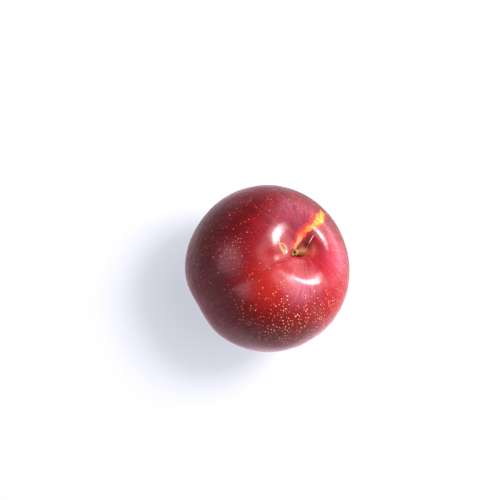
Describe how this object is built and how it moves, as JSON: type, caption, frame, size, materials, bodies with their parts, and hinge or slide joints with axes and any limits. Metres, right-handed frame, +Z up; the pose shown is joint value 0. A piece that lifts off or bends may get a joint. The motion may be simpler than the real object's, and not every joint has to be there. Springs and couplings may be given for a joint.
{
  "type": "plum",
  "caption": "Ripe red plum, picked: round fruit with a suture valley, a stem cavity holding the broken stalk base, and a small flat spot it stands on.",
  "frame": {"origin": "middle of the footprint's box, at the height of the flat spot it stands on", "axes": "+Z up, towards the stem end, and the shortest extent. +X towards the larger cheek, along the longest extent. The suture faces -Y"},
  "size_m": [0.0604, 0.058, 0.0537],
  "materials": {
    "skin": "smooth, waxy, semi-gloss fruit skin with fine pale dots and a thin bloom",
    "stalk_wood": "dry, matte, fibrous"
  },
  "bodies": {
    "root": {"fruit": "skin", "stem_remnant": "stalk_wood"}
  },
  "joints": []
}
